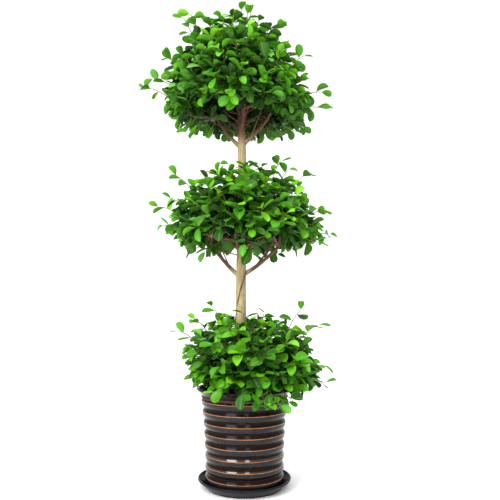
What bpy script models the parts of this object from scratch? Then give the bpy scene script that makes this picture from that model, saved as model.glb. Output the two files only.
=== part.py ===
"""Potted tree: one stem with three clipped leaf balls, in a ribbed glazed pot on a saucer.

Metres, +Z up. The origin is the middle of the saucer's flat underside, on the floor.
-Y is the front and +X the right-hand side. Touching pieces keep a small gap.
"""

import math
import random

import bmesh
import bpy
from mathutils import Matrix, Vector
from mathutils.bvhtree import BVHTree

# Driving dimensions, in metres
GAP = 0.0003              # clearance between pieces that touch

SAUCER_RIM_RADIUS = 0.135
SAUCER_FOOT_RADIUS = 0.110
SAUCER_HEIGHT = 0.033
SAUCER_WALL = 0.006
SAUCER_FLOOR = 0.008

POT_RIM_RADIUS = 0.1425
POT_TOP_RIB_RADIUS = 0.1285
POT_WAIST_RADIUS = 0.1140
POT_FOOT_RADIUS = 0.1020
POT_HEIGHT = 0.273
POT_WALL = 0.009
POT_FLOOR = 0.012
RIB_COUNT = 8
RIB_PITCH = 0.0302
RIB_DEPTH = 0.0035
COLLAR_HEIGHT = 0.036     # pot rim down to the edge of the top rib
COLLAR_DIP = 0.0038       # how far the collar curves in between rib and rim
GROOVE_RISE = 0.26        # of the pitch, from a rib's edge up to the groove above it
RIM_ROUND = 0.005         # height of the rim's rounded edge

SOIL_BELOW_RIM = 0.020
SOIL_MOUND = 0.006        # how far the soil rises from the pot's wall to the stem
STEM_IN_SOIL = 0.060

STEM_X = -0.010
STEM_RADIUS_FOOT = 0.0175
STEM_RADIUS_TOP = 0.0125
STEM_FLARE = 1.15         # the foot's radius in the soil, times the stem's
SOCKET_CLEARANCE = 0.003  # between the stem and the soil round it
STEM_HEIGHT = 0.874       # above the soil
STEM_STEPS = 9            # points along the stem
STEM_SWAY = 0.0015        # sideways, either way
SWAY_RATE = 9.0           # radians of sway for each metre of height
LIMB_SAG = 0.015
LIMB_STEPS = 3            # straight lengths along one limb
BOUGH_RADIUS = 0.0048
ROOT_RADIUS = 0.0036
ROOT_TOP = 0.366          # above the soil
ROOT_END = 0.144
ROOT_TURN = 207.0         # degrees that it winds round the stem
ROOT_SUNK = 0.97          # its middle's distance from the stem's, in stem radii
ROOT_STEPS = 9            # points along the root

LEAF_LENGTH = 0.054
LEAF_WIDTH = 0.032
LEAF_THICKNESS = 0.0024
LEAF_CUP = 0.0045         # how far the leaf's sides turn up
STALK_WIDTH = 0.0036      # at the leaf's narrow end
STALK_THICKNESS = 0.0022
TWIG_RADIUS = 0.0026
TWIG_OVERLAP = 0.002      # where one twig starts inside another
BOUGH_SHARE = 0.55        # of the way from a leaf ball's hub to its outside
TWIG_SHARE = 0.89
FORK_SHARE = 0.45         # of a spray's length, from its foot to its fork
TINE_SHARE = 0.62         # of a spray's length, from its fork to each end
TINE_LEANS = (0.30, 0.62, 0.62)   # how far each end leans out
TINE_LEAVES = (2, 2, 2)   # leaves on each end
LEAF_TRIES = 16           # turns that one leaf tries to come clear of the rest
SPRAY_LIFT = 0.006        # raised by this much at a time, until clear of the pot

TURN_STEPS = 32           # facets round the pot and the saucer
GOLDEN_ANGLE = math.pi * (3.0 - math.sqrt(5.0))

# Levels worked out from the dimensions above
POT_BASE = SAUCER_FLOOR + GAP
POT_RIM = POT_BASE + POT_HEIGHT
TOP_RIB = POT_RIM - COLLAR_HEIGHT
SOIL_TOP = POT_RIM - SOIL_BELOW_RIM

# Each leaf ball: its middle, the levels of its lowest, widest and highest leaves above the
# soil, its radius, how many sprays it has, and how far below its widest level they reach
CROWNS = {
    "bottom": dict(x=0.022, low=-0.036, wide=0.081, high=0.273, radius=0.240,
                   sprays=11, lowest_sine=-0.55, seed=37),
    "middle": dict(x=0.002, low=0.393, wide=0.507, high=0.723, radius=0.272,
                   sprays=14, lowest_sine=-0.50, seed=23),
    "top": dict(x=-0.032, low=0.792, wide=0.912, high=1.246, radius=0.286,
                sprays=17, lowest_sine=-0.40, seed=11),
}

# Limbs: leaf ball, start level above the soil, compass angle, reach, rise, radius
LIMBS = [
    ("bottom", 0.046, 172.0, 0.080, 0.050, 0.0075),
    ("bottom", 0.057, -8.0, 0.095, 0.045, 0.0075),
    ("bottom", 0.072, 84.0, 0.080, 0.050, 0.0065),
    ("bottom", 0.084, -96.0, 0.075, 0.050, 0.0065),
    ("middle", 0.343, 176.0, 0.105, 0.118, 0.0085),
    ("middle", 0.351, -4.0, 0.115, 0.090, 0.0085),
    ("middle", 0.384, 80.0, 0.095, 0.095, 0.0070),
    ("middle", 0.396, -105.0, 0.085, 0.095, 0.0065),
    ("top", 0.753, 174.0, 0.080, 0.100, 0.0080),
    ("top", 0.765, -6.0, 0.085, 0.085, 0.0080),
    ("top", 0.795, 95.0, 0.080, 0.100, 0.0065),
    ("top", 0.807, -80.0, 0.075, 0.100, 0.0065),
]


def clear_scene():
    for item in list(bpy.data.objects):
        bpy.data.objects.remove(item, do_unlink=True)


def make_collection(name):
    group = bpy.data.collections.new(name)
    bpy.context.scene.collection.children.link(group)
    return group


def make_material(name, colour, roughness):
    paint = bpy.data.materials.new(name)
    paint.use_nodes = True
    shader = paint.node_tree.nodes["Principled BSDF"]
    shader.inputs["Base Color"].default_value = (*colour, 1.0)
    shader.inputs["Roughness"].default_value = roughness
    shader.inputs["Metallic"].default_value = 0.0
    return paint


def add_object(name, mesh, group, paint=None, sharp_degrees=None):
    item = bpy.data.objects.new(name, mesh)
    group.objects.link(item)
    if paint is not None:
        mesh.materials.clear()
        mesh.materials.append(paint)
    if sharp_degrees is not None:
        mesh.shade_smooth()
        mesh.set_sharp_from_angle(angle=math.radians(sharp_degrees))
    return item


# Turned pieces: saucer, pot and soil

def turn(name, profile, group, paint):
    """A closed turned piece. The profile runs down its outer side, from axis to axis."""
    mesh = bpy.data.meshes.new(name)
    points = [(radius, 0.0, level) for radius, level in profile]
    edges = [(i, i + 1) for i in range(len(points) - 1)]
    mesh.from_pydata(points, edges, [])
    item = add_object(name, mesh, group, paint)
    screw = item.modifiers.new("turn", "SCREW")
    screw.axis = "Z"
    screw.angle = 2.0 * math.pi
    screw.steps = TURN_STEPS
    screw.render_steps = TURN_STEPS
    screw.use_merge_vertices = True
    screw.merge_threshold = 0.0001
    screw.use_smooth_shade = True
    return item


def saucer_profile():
    inner_foot = SAUCER_FOOT_RADIUS - SAUCER_WALL * 0.7
    lip = SAUCER_WALL * 0.35
    return [
        (0.0, SAUCER_FLOOR),
        (inner_foot, SAUCER_FLOOR),
        (SAUCER_RIM_RADIUS - SAUCER_WALL, SAUCER_HEIGHT - lip),
        (SAUCER_RIM_RADIUS - SAUCER_WALL * 0.5, SAUCER_HEIGHT),
        (SAUCER_RIM_RADIUS, SAUCER_HEIGHT - lip),
        (SAUCER_FOOT_RADIUS + lip, lip),
        (SAUCER_FOOT_RADIUS, 0.0),
        (0.0, 0.0),
    ]


def rib_radius(level):
    """Radius of the rib edges, which fall in a parabola from the top rib to the waist."""
    lowest_rib = TOP_RIB - (RIB_COUNT - 1) * RIB_PITCH
    share = max(0.0, (level - lowest_rib) / (TOP_RIB - lowest_rib))
    return POT_WAIST_RADIUS + (POT_TOP_RIB_RADIUS - POT_WAIST_RADIUS) * share ** 2


def inner_wall():
    """Inside of the pot, from floor to rim, as (radius, level) points."""
    floor = POT_BASE + POT_FLOOR
    levels = [floor + (TOP_RIB - floor) * share for share in (0.1, 0.4, 0.7, 1.0)]
    wall = [(rib_radius(level) - POT_WALL, level) for level in levels]
    foot = (wall[0][0] - POT_WALL * 0.67, floor)
    collar = (wall[-1][0], TOP_RIB + RIB_PITCH * GROOVE_RISE)
    rim = (POT_RIM_RADIUS - POT_WALL, POT_RIM - RIM_ROUND * 0.6)
    return [foot, *wall, collar, rim]


def collar_radius(level):
    """Outer radius of the collar, which curves in from a straight line, rib to rim."""
    share = (level - TOP_RIB) / (POT_RIM - RIM_ROUND - TOP_RIB)
    return POT_TOP_RIB_RADIUS + (POT_RIM_RADIUS - POT_TOP_RIB_RADIUS) * share - COLLAR_DIP


def inner_radius(level):
    wall = inner_wall()
    for (low_radius, low), (high_radius, high) in zip(wall, wall[1:]):
        if low <= level <= high:
            return low_radius + (high_radius - low_radius) * (level - low) / (high - low)
    return wall[-1][0]


def pot_profile():
    profile = [(0.0, POT_BASE + POT_FLOOR), *inner_wall()]
    profile.append((POT_RIM_RADIUS - POT_WALL * 0.55, POT_RIM))
    profile.append((POT_RIM_RADIUS - RIM_ROUND * 0.2, POT_RIM - RIM_ROUND * 0.2))
    profile.append((POT_RIM_RADIUS, POT_RIM - RIM_ROUND))
    cove = TOP_RIB + COLLAR_HEIGHT * 0.45
    profile.append((collar_radius(cove), cove))
    for rib in range(RIB_COUNT):
        edge = TOP_RIB - rib * RIB_PITCH
        radius = rib_radius(edge)
        profile.append((radius - RIB_DEPTH, edge + RIB_PITCH * GROOVE_RISE))
        profile.append((radius, edge))
        profile.append((radius - RIB_DEPTH * 0.25, edge - RIB_PITCH * 0.45))
    profile.append((POT_FOOT_RADIUS, POT_BASE))
    profile.append((0.0, POT_BASE))
    return profile


def soil_profile():
    bottom = POT_BASE + POT_FLOOR + GAP
    wall = [(radius, level) for radius, level in inner_wall() if bottom < level < SOIL_TOP]
    sides = [(radius - GAP * 2, level) for radius, level in reversed(wall)]
    return [
        (0.0, SOIL_TOP + SOIL_MOUND),
        (inner_radius(SOIL_TOP) * 0.55, SOIL_TOP + SOIL_MOUND * 0.67),
        (inner_radius(SOIL_TOP) - GAP * 2, SOIL_TOP),
        *sides,
        (inner_wall()[0][0] - GAP * 2, bottom),
        (0.0, bottom),
    ]


def stem_radius(level):
    share = (level - SOIL_TOP) / STEM_HEIGHT
    return STEM_RADIUS_FOOT + (STEM_RADIUS_TOP - STEM_RADIUS_FOOT) * share


def make_turned_pieces(parts, cutters):
    glaze = make_material("saucer_glaze", (0.012, 0.012, 0.013), 0.18)
    turn("saucer", saucer_profile(), parts, glaze)
    turn("pot", pot_profile(), parts, make_material("pot_glaze", (0.045, 0.028, 0.020), 0.16))
    soil = turn("soil", soil_profile(), parts, make_material("soil", (0.060, 0.024, 0.014), 0.95))

    bpy.ops.mesh.primitive_cylinder_add(
        vertices=24, radius=STEM_RADIUS_FOOT * STEM_FLARE + SOCKET_CLEARANCE,
        depth=(STEM_IN_SOIL + GAP * 2) * 2, location=(STEM_X, 0.0, SOIL_TOP))
    socket = bpy.context.object
    socket.name = "stem_socket"
    for group in list(socket.users_collection):
        group.objects.unlink(socket)
    cutters.objects.link(socket)
    cut_away(soil, socket)


def cut_away(body, cutter):
    """Cuts the cutter's shape out of a body."""
    cutter.hide_render = True
    cutter.display_type = "WIRE"
    cut = body.modifiers.new(cutter.name, "BOOLEAN")
    cut.operation = "DIFFERENCE"
    cut.object = cutter


# Wood: the stem with its root, and the limbs with their boughs

def tube(points, radii, group, resolution=0):
    """A closed tapering tube through the points, as a mesh object."""
    curve = bpy.data.curves.new("tube", "CURVE")
    curve.dimensions = "3D"
    curve.bevel_depth = 1.0
    curve.bevel_resolution = resolution
    curve.use_fill_caps = True
    spline = curve.splines.new("POLY")
    spline.points.add(len(points) - 1)
    for spot, point, radius in zip(spline.points, points, radii):
        spot.co = (*point, 1.0)
        spot.radius = radius
    guide = add_object("tube", curve, group)
    bpy.context.view_layer.update()
    solid = guide.evaluated_get(bpy.context.evaluated_depsgraph_get())
    mesh = bpy.data.meshes.new_from_object(solid)
    bpy.data.objects.remove(guide, do_unlink=True)
    bpy.data.curves.remove(curve)
    shape = bmesh.new()
    shape.from_mesh(mesh)
    bmesh.ops.remove_doubles(shape, verts=shape.verts, dist=0.00001)
    bmesh.ops.recalc_face_normals(shape, faces=shape.faces)
    shape.to_mesh(mesh)
    shape.free()
    return mesh


def unite(name, mesh, pieces, parts, cutters, paint):
    """One solid made of a mesh and the pieces grown onto it."""
    body = add_object(name, mesh, parts, paint)
    grown = bpy.data.meshes.new(name + "_grown")
    shape = bmesh.new()
    for piece in pieces:
        shape.from_mesh(piece)
    shape.to_mesh(grown)
    shape.free()
    helper = add_object(name + "_grown", grown, cutters, paint)
    helper.hide_render = True
    helper.display_type = "WIRE"
    union = body.modifiers.new("grown", "BOOLEAN")
    union.operation = "UNION"
    union.object = helper
    union.use_self = True
    return body


def bend(start, end, sag, steps):
    """Points along a branch from start to end that leaves flat and turns upwards."""
    points = []
    for step in range(steps + 1):
        share = step / steps
        point = start.lerp(end, share)
        point.z -= sag * math.sin(math.pi * share) * 0.5
        points.append(point)
    return points


def stem_points():
    low = SOIL_TOP - STEM_IN_SOIL
    high = SOIL_TOP + STEM_HEIGHT
    points = []
    radii = []
    for step in range(STEM_STEPS):
        level = low + (high - low) * step / (STEM_STEPS - 1)
        sway = STEM_SWAY * math.sin(level * SWAY_RATE)
        points.append(Vector((STEM_X + sway, sway * 0.6, level)))
        radii.append(stem_radius(level))
    radii[0] = STEM_RADIUS_FOOT * STEM_FLARE
    return points, radii


def widen(radii, allowance):
    return [radius + allowance for radius in radii]


def root_points():
    """A thin root grown against the stem, winding down it across the front."""
    points = []
    for step in range(ROOT_STEPS):
        share = step / (ROOT_STEPS - 1)
        level = SOIL_TOP + ROOT_TOP + (ROOT_END - ROOT_TOP) * share
        angle = -math.radians(ROOT_TURN) * share
        radius = stem_radius(level) * ROOT_SUNK
        points.append(Vector((STEM_X + radius * math.cos(angle), radius * math.sin(angle), level)))
    return points


class Limb:
    """One limb: its crown, its line and radii, and the solids that grow together as it."""

    def __init__(self, number, crown, level, compass, reach, rise, radius):
        angle = math.radians(compass)
        start = Vector((STEM_X, 0.0, SOIL_TOP + level))
        end = start + Vector((reach * math.cos(angle), reach * math.sin(angle), rise))
        self.name = f"{crown}_limb_{number}"
        self.crown = crown
        self.points = bend(start, end, LIMB_SAG, LIMB_STEPS)
        self.radii = [radius + (BOUGH_RADIUS - radius) * step / LIMB_STEPS
                      for step in range(LIMB_STEPS + 1)]
        self.solids = []


def make_limbs(space, helpers):
    limbs = []
    for crown, *sizes in LIMBS:
        number = sum(limb.crown == crown for limb in limbs) + 1
        limb = Limb(number, crown, *sizes)
        limb.solids.append(tube(limb.points, limb.radii, helpers))
        space.add(limb.name, limb.solids[0])
        limbs.append(limb)
    return limbs


# Sprays: forked twigs with leaves, spread over each leaf ball

def crown_points(crown):
    """The middle of a leaf ball, and the spots on its outside where its sprays end."""
    low = SOIL_TOP + crown["low"]
    wide = SOIL_TOP + crown["wide"]
    high = SOIL_TOP + crown["high"]
    hub = Vector((crown["x"] * 0.5 + STEM_X * 0.5, 0.0, wide - (wide - low) * 0.45))
    spots = []
    for index in range(crown["sprays"]):
        share = (index + 0.3) / crown["sprays"]
        sine = 1.0 + (crown["lowest_sine"] - 1.0) * share
        flat = math.sqrt(1.0 - sine * sine) * crown["radius"]
        angle = index * GOLDEN_ANGLE + crown["seed"]
        height = high - wide if sine > 0.0 else wide - low
        spots.append(Vector((crown["x"] + flat * math.cos(angle), flat * math.sin(angle),
                             wide + height * sine)))
    return hub, spots


def bough_starts(target, limbs):
    """The spots on the limbs from which a bough to the target can grow, nearest first."""
    starts = []
    for limb in limbs:
        for point, radius in zip(limb.points[1:], limb.radii[1:]):
            cost = (target - point).length + 0.5 * max(0.0, point.z - target.z)
            starts.append((cost, limb, point, radius))
    return [start[1:] for start in sorted(starts, key=lambda start: start[0])]


def leaf_mesh(place, scale):
    """A small leaf: a sphere of four sides drawn out along +Z, wide past its middle."""
    stalk, widest, tip = 1, 2, 3
    rings = {0: (0.0, 0.0, 0.0), stalk: (0.14, STALK_WIDTH / 2, STALK_THICKNESS / 2),
             widest: (0.70, LEAF_WIDTH / 2, 0.0), tip: (1.0, 0.0, 0.0)}
    shape = bmesh.new()
    bmesh.ops.create_uvsphere(shape, u_segments=4, v_segments=3, radius=1.0)
    for vert in shape.verts:
        ring = round((vert.co.z + 1.0) * 1.5)
        along, half_width, half_thick = rings[ring]
        across, through = vert.co.x, vert.co.y
        size = math.hypot(across, through) or 1.0
        thick = half_thick or LEAF_THICKNESS / 2
        cup = LEAF_CUP * (abs(across) / size) if ring == widest else 0.0
        vert.co = Vector((across / size * half_width, through / size * thick + cup,
                          along * LEAF_LENGTH))
        if ring in (0, tip):
            vert.co.x = 0.0
            vert.co.y = 0.0
    bmesh.ops.transform(shape, matrix=place @ Matrix.Scale(scale, 4), verts=shape.verts)
    bmesh.ops.recalc_face_normals(shape, faces=shape.faces)
    mesh = bpy.data.meshes.new("leaf")
    shape.to_mesh(mesh)
    shape.free()
    return mesh


def surface_tree(mesh):
    return BVHTree.FromPolygons([vert.co.copy() for vert in mesh.vertices],
                                [tuple(face.vertices) for face in mesh.polygons])


class Space:
    """The solids placed so far, to keep the next one clear of them."""

    def __init__(self):
        self.taken = []

    def add(self, owner, mesh):
        middle, reach = self.ball(mesh)
        self.taken.append((owner, middle, reach, surface_tree(mesh)))

    @staticmethod
    def ball(mesh):
        corners = [vert.co for vert in mesh.vertices]
        middle = sum(corners, Vector()) / len(corners)
        return middle, max((corner - middle).length for corner in corners)

    def is_free(self, owner, mesh):
        middle, reach = self.ball(mesh)
        mine = surface_tree(mesh)
        for other, spot, size, tree in self.taken:
            if other == owner or (spot - middle).length > size + reach:
                continue
            if mine.overlap(tree):
                return False
        return True


def leaf_place(base, outward, along, twist):
    """Where a leaf sits: its base, its length along the direction, its face outward."""
    side = outward.cross(along).normalized()
    face = along.cross(side).normalized()
    turn_matrix = Matrix((side, face, along)).transposed().to_4x4()
    return Matrix.Translation(base) @ Matrix.Rotation(twist, 4, along) @ turn_matrix


def spray_twigs(base, tip, start_turn):
    """The forked twig of one spray, as a list of point lists."""
    axis = tip - base
    length = axis.length
    axis.normalize()
    side = axis.cross(Vector((0.0, 0.0, 1.0)))
    if side.length < 0.3:
        side = axis.cross(Vector((1.0, 0.0, 0.0)))
    side.normalize()
    fork = base + axis * length * FORK_SHARE
    twigs = []
    for index, lean in enumerate(TINE_LEANS):
        turn_angle = start_turn + index * 2.0 * math.pi / len(TINE_LEANS)
        spread = Matrix.Rotation(turn_angle, 3, axis) @ side
        end = fork + (axis + spread * lean).normalized() * length * TINE_SHARE
        if index == 0:
            twigs.append([base, fork, end])
        else:
            twigs.append([fork - axis * TWIG_OVERLAP, end])
    return twigs


def twig_tubes(twigs, helpers):
    return [tube(line, [TWIG_RADIUS] * (len(line) - 1) + [TWIG_RADIUS * 0.6], helpers)
            for line in twigs]


class Spray:
    """A forked twig with its leaves, at the end of a bough."""

    def __init__(self, name, hub, spot, chance, potting, helpers):
        self.name = name
        self.hub = hub
        self.chance = chance
        start_turn = chance.uniform(0.0, 2.0 * math.pi)
        lift = Vector()
        while True:
            self.join = hub.lerp(spot, BOUGH_SHARE) + lift
            tip = hub.lerp(spot, TWIG_SHARE) + lift
            self.outward = (tip - self.join).normalized()
            self.twigs = spray_twigs(self.join + self.outward * GAP, tip, start_turn)
            self.solids = twig_tubes(self.twigs, helpers)
            if all(potting.is_free(name, solid) for solid in self.solids):
                break
            lift.z += SPRAY_LIFT


def grow_bough(spray, limbs, space, helpers):
    """The bough that carries a spray, from the nearest limb that it can leave freely."""
    choices = []
    for limb, source, radius in bough_starts(spray.join, limbs):
        start = source - spray.outward * radius * 0.6
        line = [start, spray.join - spray.outward * 0.02, spray.join]
        bough = tube(line, [radius * 0.9, TWIG_RADIUS * 1.4, TWIG_RADIUS * 1.2], helpers)
        choices.append((limb, bough))
        if space.is_free(limb.name, bough):
            break
    else:
        limb, bough = choices[0]
    limb.solids.append(bough)
    space.add(limb.name, bough)


def make_sprays(limbs, potting, space, helpers):
    """Twigs of every spray, and the boughs that carry them."""
    sprays = []
    for crown_name, crown in CROWNS.items():
        hub, spots = crown_points(crown)
        chance = random.Random(crown["seed"])
        crown_limbs = [limb for limb in limbs if limb.crown == crown_name]
        for index, spot in enumerate(spots):
            name = f"{crown_name}_spray_{index + 1:02d}"
            spray = Spray(name, hub, spot, chance, potting, helpers)
            grow_bough(spray, crown_limbs, space, helpers)
            sprays.append(spray)
    return sprays


def grow_leaves(spray, space):
    """The leaves of one spray, each turned until it is clear of the rest."""
    name, hub, chance = spray.name, spray.hub, spray.chance
    leaves = []
    for line, count in zip(spray.twigs, TINE_LEAVES):
        foot, end = line[-2], line[-1]
        along = (end - foot).normalized()
        outward = (end - hub).normalized()
        for index in range(count):
            last = index == count - 1
            base = foot.lerp(end, 0.93 if last else 0.38 + 0.30 * index)
            for attempt in range(LEAF_TRIES):
                turn_angle = index * 2.4 + chance.uniform(-1.2, 1.2) + attempt * 0.6
                lean = chance.uniform(0.1, 0.5) if last else chance.uniform(0.8, 1.25)
                side = Matrix.Rotation(turn_angle, 3, along) @ along.orthogonal().normalized()
                heading = (along * math.cos(lean) + side * math.sin(lean)).normalized()
                heading = (heading + Vector((0.0, 0.0, -0.10))).normalized()
                facing = outward if abs(heading.dot(outward)) < 0.94 else heading.orthogonal()
                place = leaf_place(base, facing, heading, chance.uniform(-0.5, 0.5))
                scale = chance.uniform(0.85, 1.05)
                if space.is_free(name, leaf_mesh(place, scale * 1.05)):
                    leaf = leaf_mesh(place, scale)
                    space.add(name + "_leaves", leaf)
                    leaves.append(leaf)
                    break
    return leaves


def make_plant(parts, cutters):
    bark = make_material("bark", (0.50, 0.37, 0.24), 0.75)
    leaf_green = make_material("leaf", (0.10, 0.26, 0.035), 0.35)
    potting = Space()
    space = Space()
    for name in ("pot", "soil"):
        solid = bpy.data.objects[name].evaluated_get(bpy.context.evaluated_depsgraph_get())
        mesh = bpy.data.meshes.new_from_object(solid)
        potting.add(name, mesh)
        space.add(name, mesh)

    points, radii = stem_points()
    stem = tube(points, radii, cutters, resolution=2)
    root = tube(root_points(), [ROOT_RADIUS] * ROOT_STEPS, cutters)
    for solid in (stem, root):
        space.add("trunk", solid)
    limbs = make_limbs(space, cutters)
    sprays = make_sprays(limbs, potting, space, cutters)

    wide_stem = tube(points, widen(radii, GAP), cutters, resolution=2)
    wide_root = tube(root_points(), [ROOT_RADIUS + GAP] * ROOT_STEPS, cutters)
    clear_stem = add_object("clear_stem", wide_stem, cutters)
    clear_root = add_object("clear_root", wide_root, cutters)
    trunk = unite("trunk", stem, [root], parts, cutters, bark)
    trunk.data.shade_smooth()
    for limb in limbs:
        body = unite(limb.name, limb.solids[0], limb.solids[1:], parts, cutters, bark)
        cut_away(body, clear_stem)
        cut_away(body, clear_root)

    for spray in sprays:
        for solid in spray.solids:
            space.add(spray.name, solid)
    for spray in sprays:
        leaves = grow_leaves(spray, space)
        unite(spray.name, spray.solids[0], spray.solids[1:] + leaves, parts, cutters, leaf_green)


def main():
    clear_scene()
    parts = make_collection("potted_tree")
    cutters = make_collection("cutters")
    make_turned_pieces(parts, cutters)
    bpy.context.view_layer.update()
    make_plant(parts, cutters)


main()
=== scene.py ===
"""Looks of the potted tree: ribbed glazed pot, saucer, soil, barked stem and leafy sprays."""

import math
import random

import bmesh
import bpy
from mathutils import Matrix, Vector, noise


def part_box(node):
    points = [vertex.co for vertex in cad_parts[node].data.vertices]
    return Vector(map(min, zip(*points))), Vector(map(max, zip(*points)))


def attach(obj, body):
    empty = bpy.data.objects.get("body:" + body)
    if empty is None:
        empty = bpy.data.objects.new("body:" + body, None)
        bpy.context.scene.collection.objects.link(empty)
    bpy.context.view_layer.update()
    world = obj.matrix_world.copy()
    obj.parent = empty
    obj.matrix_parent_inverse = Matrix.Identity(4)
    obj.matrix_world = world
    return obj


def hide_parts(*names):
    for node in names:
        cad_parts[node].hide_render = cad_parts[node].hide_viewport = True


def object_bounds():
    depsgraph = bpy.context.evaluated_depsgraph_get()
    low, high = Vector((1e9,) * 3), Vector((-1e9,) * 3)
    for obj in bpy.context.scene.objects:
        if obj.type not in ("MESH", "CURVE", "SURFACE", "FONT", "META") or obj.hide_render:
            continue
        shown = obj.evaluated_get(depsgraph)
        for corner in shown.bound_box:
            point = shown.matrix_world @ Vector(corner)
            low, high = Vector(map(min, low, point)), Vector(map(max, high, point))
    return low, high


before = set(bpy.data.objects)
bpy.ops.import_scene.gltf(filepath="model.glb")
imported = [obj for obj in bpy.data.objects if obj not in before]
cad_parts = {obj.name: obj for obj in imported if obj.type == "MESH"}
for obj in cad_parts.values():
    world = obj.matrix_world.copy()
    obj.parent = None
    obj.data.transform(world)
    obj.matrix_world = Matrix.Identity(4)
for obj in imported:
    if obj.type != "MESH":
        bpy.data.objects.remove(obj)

CAD_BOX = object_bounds()
GOLDEN_ANGLE = math.pi * (3.0 - math.sqrt(5.0))

# Levels and radii read from the frame
POT_LOW, POT_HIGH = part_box("pot")
_, SAUCER_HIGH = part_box("saucer")
SOIL_LOW, SOIL_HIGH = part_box("soil")
POT_RIM_RADIUS = POT_HIGH.x
POT_RIM = POT_HIGH.z
POT_BASE = POT_LOW.z
SAUCER_RIM_RADIUS = SAUCER_HIGH.x
SAUCER_RIM = SAUCER_HIGH.z - 0.005  # a little lower than the frame's rim
SOIL_MOUND = 0.006
SOIL_TOP = SOIL_HIGH.z - SOIL_MOUND
SOIL_SWELL = SOIL_MOUND * 0.6  # how far the soil's middle stands above its edge

# Pot and saucer
POT_TOP_RIB_RADIUS = 0.1285
POT_WAIST_RADIUS = 0.1140
POT_FOOT_RADIUS = 0.1020
POT_WALL = 0.009
POT_FLOOR = 0.012
RIB_COUNT = 8
RIB_PITCH = 0.0302
RIB_DEPTH = 0.0042
LEDGE = RIB_PITCH * 0.40  # from a rib's edge up to the groove above it
RIB_BELLY = 0.0060
EDGE_ROUND = 0.0006
EDGE_LIFT = 0.0002  # the rounded edge's middle is this far above the edge's level
EDGE_SETBACK = 0.0004  # the belly starts this far inside the edge
EDGE_BAND = 0.0013  # the worn glaze reaches this far above and below the edge
GROOVE_MIDDLE = 0.80  # in rib pitches below the edge above
GROOVE_SPREAD = 0.26
COLLAR_GROOVE = 0.85  # the collar is nearly as dull as a groove
WET_FROM = 0.0016  # thick bright glaze starts this far above an edge
WET_RIBS = {5: 0.0062, 6: 0.0042}  # which ribs have it, and how far above the edge it ends
WET_SHINE = 0.62
SWELL_DEPTH = 0.00035  # how uneven the thrown wall is
COLLAR_HEIGHT = 0.036
TOP_RIB = POT_RIM - COLLAR_HEIGHT
SAUCER_FOOT_RADIUS = 0.110
SAUCER_WALL = 0.006
SAUCER_FLOOR = 0.008
TURN_STEPS = 160

# Soil inside the pot
SOIL_WALL_LEVELS = (0.235, 0.18, 0.12, 0.06)
SOIL_FOOT_LEVEL = 0.03
SOIL_CRUMBS = 420

# Stem and branches, with levels above the soil
STEM_X = -0.010
STEM_RADIUS_FOOT = 0.0172
STEM_RADIUS_TOP = 0.0120
STEM_HEIGHT = 0.874
STEM_SUNK = -0.045
STEM_STEPS = 120
FOOT_FLARE = 0.0042
FOOT_FLARE_HEIGHT = 0.018
# Above this level the stem is painted dark red: young wood, and painted shade under the top ball
YOUNG_AND_SHADED_WOOD_LEVEL = 0.745  # the bark turns dark and red from here up,
YOUNG_WOOD_APART = 0.017  # and from this far out of the stem's middle
BOUGH_RADIUS = 0.0048
TWIG_RADIUS = 0.0024
ROOT_RADIUS = 0.0025
ROOT_TOP = 0.366
ROOT_END = 0.144
ROOT_TURN = math.pi * 1.15
ROOT_STEPS = 40
# How strongly the root is painted dark: its own bark, plus painted shade where it hugs the stem
ROOT_SHADE = 0.9
LIMB_SAG = 0.015
BOUGH_SHARE = 0.55  # how far from a leaf ball's hub to its outside the boughs end
TWIG_TIP_RADIUS = 0.0011
GREEN_TWIG = 0.03  # the last stretch of a leafy twig is green
TWIG_PLACES = (0.35, 0.50, 0.65, 0.80, 0.95)  # where bare twigs start along a limb
TWIG_FANS = [(0.395, 0.500, 10), (0.790, 0.872, 16)]  # lowest and highest start, how many

# Each leaf ball: its middle's place, its lowest, widest and highest levels above the soil, its
# radius and the frame's sprays, with lowest_sine for how far down they reach; then its leafy
# shoots, with hang for how far down they reach, and the hollow round the stem below
CROWNS = {
    "bottom": dict(x=0.022, low=-0.036, wide=0.081, high=0.273, radius=0.240, sprays=11,
                   lowest_sine=-0.55, seed=37, shoots=185, hang=-0.75, hollow=0.0),
    "middle": dict(x=0.002, low=0.393, wide=0.507, high=0.723, radius=0.272, sprays=14,
                   lowest_sine=-0.50, seed=23, shoots=195, hang=-0.58, hollow=0.070),
    "top": dict(x=-0.032, low=0.792, wide=0.912, high=1.246, radius=0.286, sprays=17,
                lowest_sine=-0.40, seed=11, shoots=250, hang=-0.64, hollow=0.100),
}

# The clipped outline of each leaf ball: level above the soil, left side, right side
OUTLINES = {
    "bottom": [(-0.005, -0.090, 0.110), (0.019, -0.125, 0.185), (0.040, -0.150, 0.222),
               (0.063, -0.164, 0.228), (0.086, -0.180, 0.224), (0.133, -0.186, 0.208),
               (0.157, -0.184, 0.198), (0.181, -0.172, 0.184), (0.201, -0.145, 0.163),
               (0.217, -0.110, 0.128), (0.232, -0.060, 0.082)],
    "middle": [(0.420, -0.130, 0.120), (0.434, -0.175, 0.175), (0.449, -0.208, 0.215),
               (0.474, -0.230, 0.238), (0.499, -0.245, 0.240), (0.524, -0.245, 0.234),
               (0.549, -0.236, 0.218), (0.575, -0.222, 0.200), (0.600, -0.208, 0.188),
               (0.626, -0.190, 0.174), (0.659, -0.168, 0.154), (0.684, -0.120, 0.120),
               (0.703, -0.055, 0.060)],
    "top": [(0.797, -0.165, 0.155), (0.815, -0.195, 0.186), (0.834, -0.208, 0.196),
            (0.860, -0.235, 0.205), (0.887, -0.258, 0.214), (0.914, -0.266, 0.215),
            (0.941, -0.263, 0.210), (0.967, -0.258, 0.203), (0.995, -0.250, 0.190),
            (1.022, -0.241, 0.178), (1.049, -0.230, 0.165), (1.076, -0.218, 0.150),
            (1.104, -0.203, 0.128), (1.132, -0.190, 0.115), (1.159, -0.182, 0.106),
            (1.187, -0.160, 0.082), (1.203, -0.105, 0.045)],
}

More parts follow.
